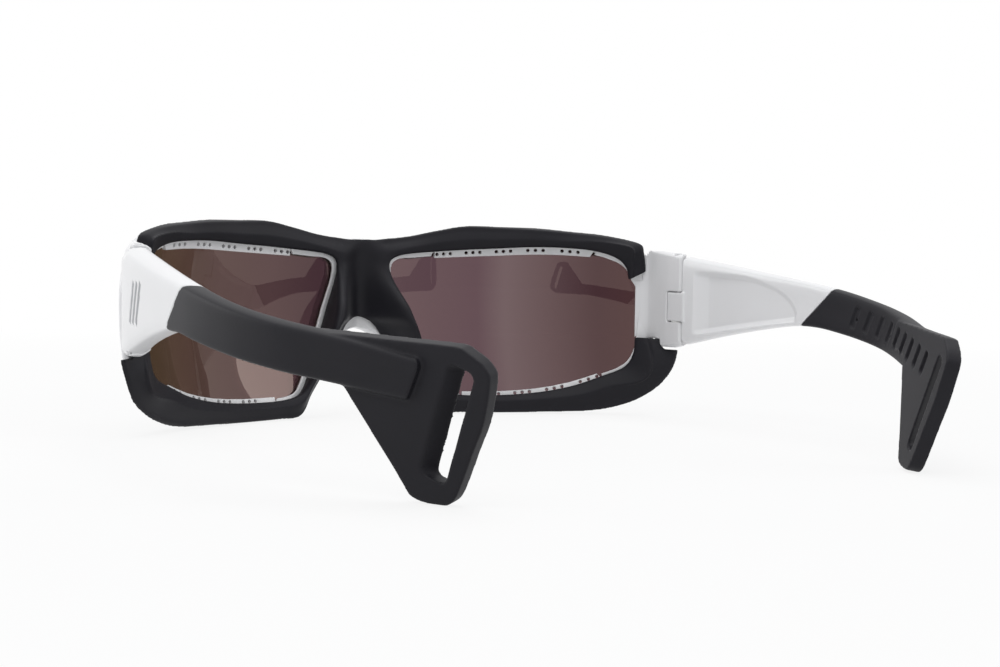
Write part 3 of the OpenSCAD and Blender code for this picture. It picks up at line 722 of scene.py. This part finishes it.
def arm_section(row, inset=0):
    """Section of temple or tip at a station, made smaller all round by the inset."""
    y, inner, outer, low, high, lean = row
    x0, z0 = inner + inset, low + inset
    w, h = outer - inset - x0, high - inset - z0
    return [ARM_MOVE + (x0 + w * a + BAR_LEAN * lean * h * (b - 0.5), y, z0 + h * b)
            for a, b in through(ARM_SECTION, FEW_STEPS, True)]


def arm(inset=0, last=len(ARM)):
    """Temple and tip in one, up to the station last."""
    return loft("arm", [arm_section(r, inset) for r in through(ARM[:last], STEPS)])


def arm_at(y):
    """Station of the temple or tip at any y."""
    rows = through(ARM, STEPS)
    return np.array([np.interp(y, rows[:, 0], rows[:, k]) for k in range(6)])


def before_tip(back=0):
    """All that lies in front of the slanted joint of temple and tip, moved back by a gap."""
    rings = []
    for x in (50, REACH):
        y = JOINT_Y + back - JOINT_SKEW * (x - JOINT_X)
        slant = [(y + (z - JOINT_Z) * JOINT_SLOPE, z) for z in (LOW, TOP)]
        outline = [(ARM_FRONT, LOW), *slant, (ARM_FRONT, TOP)]
        rings.append([ARM_MOVE + (x, a, b) for a, b in outline])
    return loft("before_tip", rings)


def tongue(gap=0):
    """Oval tongue of the temple inside the tip, or with a gap the room for it."""
    end = JOINT_Y + TONGUE_ROOT + TONGUE_LEN + gap
    half_x, half_z = TONGUE_HALF[0] + gap, TONGUE_HALF[1] + gap
    rings = []
    for y, inner, outer, low, high, _ in through(ARM, STEPS):
        if TONGUE_START < y < end:
            rings.append([ARM_MOVE + ((inner + outer) / 2 + a * half_x, y,
                                      (low + high) / 2 + b * half_z)
                          for a, b in arc(1, 0, 330, 30)])
    return loft("tongue", rings)


def hinge_room():
    """What the temple leaves free for the end piece and its turn round the hinge."""
    side = KNUCKLE_R + PARTING
    outline = [[-12, -20], [OUTER_SIDE[0][0] + PARTING, -20]]
    outline += [[p[0] + PARTING, p[1]] for p in OUTER_SIDE]
    outline += [[side, -1.7], [side, -0.2], [KNUCKLE_R + 0.95, 0.45]]
    outline += arc(TURN_R, 24, 120)
    outline += [[-12, TURN_R * math.sin(math.radians(120))]]
    return upright("hinge_room", outline, 0, 2 * FULL_H, HINGE)


def inlay_bar(k, gap):
    """Slanted bar through the outer face."""
    c, s = math.cos(math.radians(BAR_SLANT)), math.sin(math.radians(BAR_SLANT))
    y0, z0 = BAR_MIDDLE[0] + k * BAR_PITCH + ARM_MOVE[1], BAR_MIDDLE[1]
    b, h = BAR_W / 2 + gap, BAR_H / 2 + gap
    outline = [[y0 + c * y - s * z, z0 + s * y + c * z]
               for y, z in ((-b, -h), (b, -h), (b, h), (-b, h))]
    return prism("bar", outline, *BAR_X, lambda a, b, c: (c, a, b))


def outline_distance(outline, y, z):
    """Distance to the nearest side of an outline, positive inside."""
    outline = np.array(outline, float)
    nearest = np.full(len(y), 1e9)
    inside = np.zeros(len(y), bool)
    for p, q in zip(outline, np.roll(outline, -1, 0)):
        d = q - p
        t = np.clip(((y - p[0]) * d[0] + (z - p[1]) * d[1]) / (d @ d), 0, 1)
        nearest = np.minimum(nearest, np.hypot(y - p[0] - t * d[0], z - p[1] - t * d[1]))
        crosses = (p[1] > z) != (q[1] > z)
        with np.errstate(divide="ignore", invalid="ignore"):
            inside ^= crosses & (y < p[0] + (z - p[1]) * d[0] / d[1])
    return np.where(inside, nearest, -nearest)


def press_recess(obj):
    """Presses the recess into the inner face, with a wide cove at its front."""
    p = points_of(obj)
    y, z = p[:, 1] - ARM_MOVE[1], p[:, 2]
    rows = through(ARM, STEPS)
    face = np.interp(y, rows[:, 0], rows[:, 1])
    outline = through(RECESS_CURVE, FEW_STEPS).tolist() + RECESS_REST
    edge = smoothstep((outline_distance(outline, y, z) + RECESS_SPREAD) / RECESS_EDGE)
    deeper = COVE_DEPTH - smoothstep((y + COVE_LEN) / COVE_LEN) * COVE_FADE
    cove = np.clip((y + COVE_FRONT) / COVE_RUN, 0, 1) * deeper
    near = 1 - smoothstep((p[:, 0] - face - SKIN) / SKIN_FADE)
    p[:, 0] += RECESS_D * edge * cove * near
    obj.data.vertices.foreach_set("co", p.astype(np.float32).ravel())
    obj.data.update()


def make_temple():
    """Left temple: arm and tongue, cut free round the hinge, with its knuckle, bars and recess."""
    temple = combine(arm(), before_tip(), "INTERSECT")
    combine(temple, tongue(), "UNION")
    combine(temple, hinge_room())
    combine(temple, rim_cone())
    for k in (-1, 0, 1):
        combine(temple, combine(inlay_bar(k, INLAY_GAP), arm(INLAY_D, INLAY_STATIONS)))
    outline = [[-KNUCKLE_R, KNUCKLE_ROOT], *arc(HEEL_R - 0.1, 236, 304), [KNUCKLE_R, KNUCKLE_ROOT],
               [KNUCKLE_R, KNUCKLE_REACH], [-KNUCKLE_R, KNUCKLE_REACH]]
    combine(temple, upright("knuckle", outline, MID_Z0, MID_Z0 + KNUCKLE_H, HINGE), "UNION")
    combine(temple, rod("bore", SCREW_BORE, MID_Z0 - 1, MID_Z0 + KNUCKLE_H + 1))
    combine(temple, corner_cut())
    soften(temple, VOXEL, PASSES, corner_share, TEMPLE_PASSES)
    press_recess(temple)
    temple.name = "white_temple_left"
    return temple


def on_paddle(a, b, c):
    """Point on the paddle: a rearward, b up and c outwards from its outer face."""
    return PADDLE_AT + PADDLE_Y * a + PADDLE_Z * b + PADDLE_N * c


def on_slot(a, b, c):
    """Slot's own axes: a along it, b across, with the front wall slanted toward the inner face."""
    turn = math.radians(SLOT_TURN)
    if b > 0:
        b += SLOT_WIDER - SLOT_SLANT * -c / PADDLE_T
    return on_paddle(SLOT_MIDDLE[0] + a * math.cos(turn) - b * math.sin(turn),
                     SLOT_MIDDLE[1] + a * math.sin(turn) + b * math.cos(turn), c)


def grip_place(y):
    """Places points on the inner face at y: a rearward, b along the slant and c into the tip."""
    _, inner, _, low, high, lean = arm_at(y)
    run = math.atan((arm_at(y + 1)[1] - arm_at(y - 1)[1]) / 2)
    turn = (Matrix.Rotation(-run, 3, "Z") @ Matrix.Rotation(math.atan(BAR_LEAN * lean), 3, "Y")
            @ Matrix.Rotation(math.radians(-GRIP_SLANT), 3, "X"))
    at = ARM_MOVE + (inner, y, (low + high) / 2)
    return lambda a, b, c: at + np.array(turn @ Vector((c, a, b)))


def grip_groove(place):
    """Slanted groove whose floor climbs from a deep front side back to the face."""
    def sloped(a, b, c):
        climb = GRIP_CLIMB * GRIP_D * (a / GRIP_W + 0.5)
        return place(a, b, c - climb if c > 0 else c)
    return prism("groove", rounded(GRIP_W / 2, GRIP_LEN / 2, GRIP_R), GRIP_D - 3, GRIP_D, sloped)


def paddle_share(p):
    """Share of extra smoothing: the paddle, and the outer edges of the bar that runs into it."""
    p = p - PADDLE_AT
    along, up, out = p @ PADDLE_Y, p @ PADDLE_Z, p @ PADDLE_N
    paddle = (up < -2.5) | (along > 19)
    bar_face = (out > -1.2) & (along > 1)
    top_edge = (along > -9) & (up > 5.5)
    return np.where(paddle | bar_face | top_edge, 1.0, 0.0)


def make_tip():
    """Left tip: bar, paddle with its slot, room for the tongue, grip grooves and pits."""
    tip = combine(arm(), before_tip(JOINT_GAP))
    combine(tip, prism("behind_bar", BAR_END, -BAR_SUNK, 6, on_paddle))
    paddle = through(PADDLE, FEW_STEPS, True)
    combine(tip, prism("plate", paddle, -PADDLE_T, 0, on_paddle), "UNION")
    combine(tip, prism("slot", rounded(*SLOT_HALF, SLOT_R), -PADDLE_T - 1, 1, on_slot))
    combine(tip, tongue(TONGUE_GAP))
    for i in range(GRIPS):
        place = grip_place(GRIP_FIRST + i * GRIP_PITCH)
        combine(tip, grip_groove(place))
        if i % PIT_EVERY == 0:
            pit = arc(PIT_R, 0, 330, 30, (PIT_AT[0], PIT_AT[1] - PIT_DRIFT * i))
            combine(tip, prism("pit", pit, -1, 1.0, place))
    soften(tip, VOXEL, PASSES, paddle_share, PADDLE_PASSES)
    tip.name = "rubber_tip_left"
    return tip


def new_material(name):
    """Material with a Principled shader, and short ways to add nodes and links."""
    material = bpy.data.materials.new(name)
    material.use_nodes = True
    nodes = material.node_tree.nodes

    def add(kind, **values):
        node = nodes.new("ShaderNode" + kind)
        for key, value in values.items():
            if key in node.inputs:
                node.inputs[key].default_value = value
            else:
                setattr(node, key, value)
        return node
    return material, nodes["Principled BSDF"], add, material.node_tree.links.new


def set_sockets(node, values):
    """Sets the values of a node's sockets by their names."""
    for socket, value in values.items():
        node.inputs[socket].default_value = value


def noise_colour(add, link, shader, dark, light, scale):
    """Slow drift between two tones of a colour."""
    where = add("TexCoord")
    noise = add("TexNoise", Scale=scale, Detail=3.0)
    ramp = add("ValToRGB")
    for element, position, tone in zip(ramp.color_ramp.elements, (0.3, 0.7), (dark, light)):
        element.position = position
        element.color = (*tone, 1)
    link(where.outputs["Object"], noise.inputs["Vector"])
    link(noise.outputs["Fac"], ramp.inputs["Fac"])
    link(ramp.outputs["Color"], shader.inputs["Base Color"])
    return where


def fine_bump(add, link, shader, where, scale, strength, distance):
    """Fine grain of the surface."""
    grain = add("TexNoise", Scale=scale, Detail=4.0)
    bump = add("Bump", Strength=strength, Distance=distance)
    link(where.outputs["Object"], grain.inputs["Vector"])
    link(grain.outputs["Fac"], bump.inputs["Height"])
    link(bump.outputs["Normal"], shader.inputs["Normal"])
    return grain


def rubber():
    """Soft-touch charcoal, with a grain that also varies its roughness."""
    material, shader, add, link = new_material("charcoal_rubber")
    where = noise_colour(add, link, shader, (0.0080, 0.0076, 0.0108), (0.0102, 0.0097, 0.0136), 90)
    grain = fine_bump(add, link, shader, where, 5200, 0.16, 0.00005)
    rough = add("MapRange")
    set_sockets(rough, {"To Min": 0.50, "To Max": 0.60})
    link(grain.outputs["Fac"], rough.inputs["Value"])
    link(rough.outputs["Result"], shader.inputs["Roughness"])
    set_sockets(shader, {"Specular IOR Level": 0.22, "Sheen Weight": 0.03, "Sheen Roughness": 0.4})
    return material


def white_plastic():
    """White nylon with a thin satin coat."""
    material, shader, add, link = new_material("white_nylon")
    where = noise_colour(add, link, shader, (0.80, 0.80, 0.81), (0.84, 0.84, 0.85), 30)
    fine_bump(add, link, shader, where, 2600, 0.05, 0.00003)
    set_sockets(shader, {"Roughness": 0.32, "Specular IOR Level": 0.5, "Coat Weight": 0.25,
                         "Coat Roughness": 0.12})
    return material


def lens_tone_and_light():
    """Brown tint and mauve at the nose and over the right lens, with painted light: amber at the
    left temple as a painted glancing reflection, and painted shade at the right lens's outer end.
    """
    material, shader, add, link = new_material("brown_lens")
    where = add("TexCoord")
    across = add("SeparateXYZ")
    along = add("MapRange")
    ramp = add("ValToRGB")
    set_sockets(along, {"From Min": -LENS_REACH, "From Max": LENS_REACH})
    while len(ramp.color_ramp.elements) < len(LENS_TONES_AND_LIGHT):
        ramp.color_ramp.elements.new(1.0)
    for element, (position, tone) in zip(ramp.color_ramp.elements, LENS_TONES_AND_LIGHT):
        element.position = position
        element.color = (*tone, 1)
    link(where.outputs["Object"], across.inputs[0])
    link(across.outputs["X"], along.inputs["Value"])
    link(along.outputs["Result"], ramp.inputs["Fac"])
    link(ramp.outputs["Color"], shader.inputs["Base Color"])
    set_sockets(shader, {"Roughness": 0.0, "IOR": 1.5, "Transmission Weight": 1.0,
                         "Specular Tint": (1.0, 0.80, 0.70, 1)})
    return material


def plain(name, dark, light, roughness, metallic=0.0):
    """Material of a small part: two near tones and a fine grain."""
    material, shader, add, link = new_material(name)
    where = noise_colour(add, link, shader, dark, light, 300)
    fine_bump(add, link, shader, where, 4000, 0.08, 0.00002)
    set_sockets(shader, {"Roughness": roughness, "Metallic": metallic})
    return material


def seen_directly(nodes, links):
    """1 for what the camera, a reflection or the glass shows, 0 for the light on the object."""
    path = nodes.new("ShaderNodeLightPath")
    total = path.outputs["Is Camera Ray"]
    for output in ("Is Glossy Ray", "Is Transmission Ray"):
        most = nodes.new("ShaderNodeMath")
        most.operation = "MAXIMUM"
        links.new(total, most.inputs[0])
        links.new(path.outputs[output], most.inputs[1])
        total = most.outputs[0]
    return total


def set_world():
    """Soft light from all round, with a white background to look at."""
    world = bpy.data.worlds.new("studio")
    world.use_nodes = True
    bpy.context.scene.world = world
    nodes, links = world.node_tree.nodes, world.node_tree.links
    light = nodes["Background"]
    set_sockets(light, {"Color": WORLD_COLOUR, "Strength": WORLD_STRENGTH})
    white = nodes.new("ShaderNodeBackground")
    set_sockets(white, {"Color": (1, 1, 1, 1)})
    mix = nodes.new("ShaderNodeMixShader")
    links.new(seen_directly(nodes, links), mix.inputs[0])
    links.new(light.outputs[0], mix.inputs[1])
    links.new(white.outputs[0], mix.inputs[2])
    links.new(mix.outputs[0], nodes["World Output"].inputs["Surface"])


def add_floor():
    """Pale floor that shows almost white, quite white further away, and keeps a soft shadow."""
    corners = [(-1, -1), (1, -1), (1, 1), (-1, 1)]
    floor = solid("floor", [(x * FLOOR_HALF, y * FLOOR_HALF, 0) for x, y in corners],
                  [(0, 1, 2, 3)])
    material, shader, add, link = new_material("pale_floor")
    where = noise_colour(add, link, shader, (0.80, 0.80, 0.80), (0.82, 0.82, 0.82), 3)
    set_sockets(shader, {"Roughness": 0.9, "Specular IOR Level": 0.0})
    glow = add("Emission", Strength=1.0)
    mix = add("MixShader")
    share = add("Math", operation="MULTIPLY")
    away = add("VectorMath", operation="LENGTH")
    fade = add("MapRange")
    set_sockets(fade, {"From Min": 0.15, "From Max": 0.5, "To Min": 0.85, "To Max": 1.0})
    tree = material.node_tree
    link(where.outputs["Object"], away.inputs[0])
    link(away.outputs["Value"], fade.inputs["Value"])
    link(fade.outputs["Result"], share.inputs[1])
    link(seen_directly(tree.nodes, tree.links), share.inputs[0])
    link(share.outputs[0], mix.inputs[0])
    link(shader.outputs[0], mix.inputs[1])
    link(glow.outputs[0], mix.inputs[2])
    link(mix.outputs[0], tree.nodes["Material Output"].inputs["Surface"])
    floor.data.materials.append(material)


def add_lamp(name, at, size, watts):
    """Round soft lamp that faces the object."""
    data = bpy.data.lights.new(name, "AREA")
    data.shape = "DISK"
    data.size = size
    data.energy = watts
    lamp = link_object(name, data)
    lamp.location = at
    lamp.rotation_euler = (Vector(LAMP_TARGET) - Vector(at)).to_track_quat("-Z", "Y").to_euler()


def add_camera():
    """The photograph's camera."""
    data = bpy.data.cameras.new("camera")
    data.sensor_width = CAMERA_SENSOR
    data.lens = CAMERA_LENS
    data.clip_start = CAMERA_CLIP
    camera = link_object("camera", data)
    forward = Vector(CAMERA_FORWARD).normalized()
    right = Vector(CAMERA_RIGHT)
    right = (right - forward * right.dot(forward)).normalized()
    up = right.cross(forward)
    place = Matrix((right, up, -forward)).transposed().to_4x4()
    place.translation = Vector(CAMERA_AT) * MM
    camera.matrix_world = place
    bpy.context.scene.camera = camera


add_camera()
bpy.context.scene.view_settings.view_transform = "Standard"
set_world()
add_floor()
for lamp in LAMPS:
    add_lamp(*lamp)

charcoal = rubber()
white = white_plastic()
# lens glass whose colour holds painted shade and a painted glancing reflection besides its tint
glass_tone_and_light = lens_tone_and_light()

finish_piece(make_shell(), charcoal, "front", "charcoal_rubber", "face_shell")
finish_piece(make_front(), white, "front", "white_nylon", "front_frame")
left_lens = lens("tinted_lens_left")
right_lens = mirrored(left_lens, "tinted_lens_right")
finish_piece(left_lens, glass_tone_and_light, "front", "brown_lens", "lens_left")
finish_piece(right_lens, glass_tone_and_light, "front", "brown_lens", "lens_right")
for maker, finish, slot, name in ((make_temple, white, "white_nylon", "temple"),
                                  (make_tip, charcoal, "charcoal_rubber", "temple_tip")):
    left = maker()
    right = mirrored(left, left.name.replace("left", "right"))
    finish_piece(left, finish, "left_arm", slot, name + "_left")
    finish_piece(right, finish, "right_arm", slot, name + "_right")

# CAD nodes that stay visible, by the start of their names
CAD_FINISH = {
    "vent_strip": white,
    "temple_inlay": plain("grey_inlay", (0.24, 0.25, 0.27), (0.28, 0.29, 0.31), 0.35),
    "hinge_screw": plain("hinge_steel", (0.55, 0.55, 0.57), (0.62, 0.62, 0.64), 0.3, 1.0),
    "hinge_insert": plain("hinge_brass", (0.70, 0.55, 0.27), (0.76, 0.61, 0.31), 0.35, 1.0),
    "hinge_washer": plain("washer_nylon", (0.78, 0.78, 0.76), (0.84, 0.84, 0.82), 0.5),
}
for name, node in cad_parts.items():
    for start, finish in CAD_FINISH.items():
        if name.startswith(start):
            node.data.materials.clear()
            node.data.materials.append(finish)
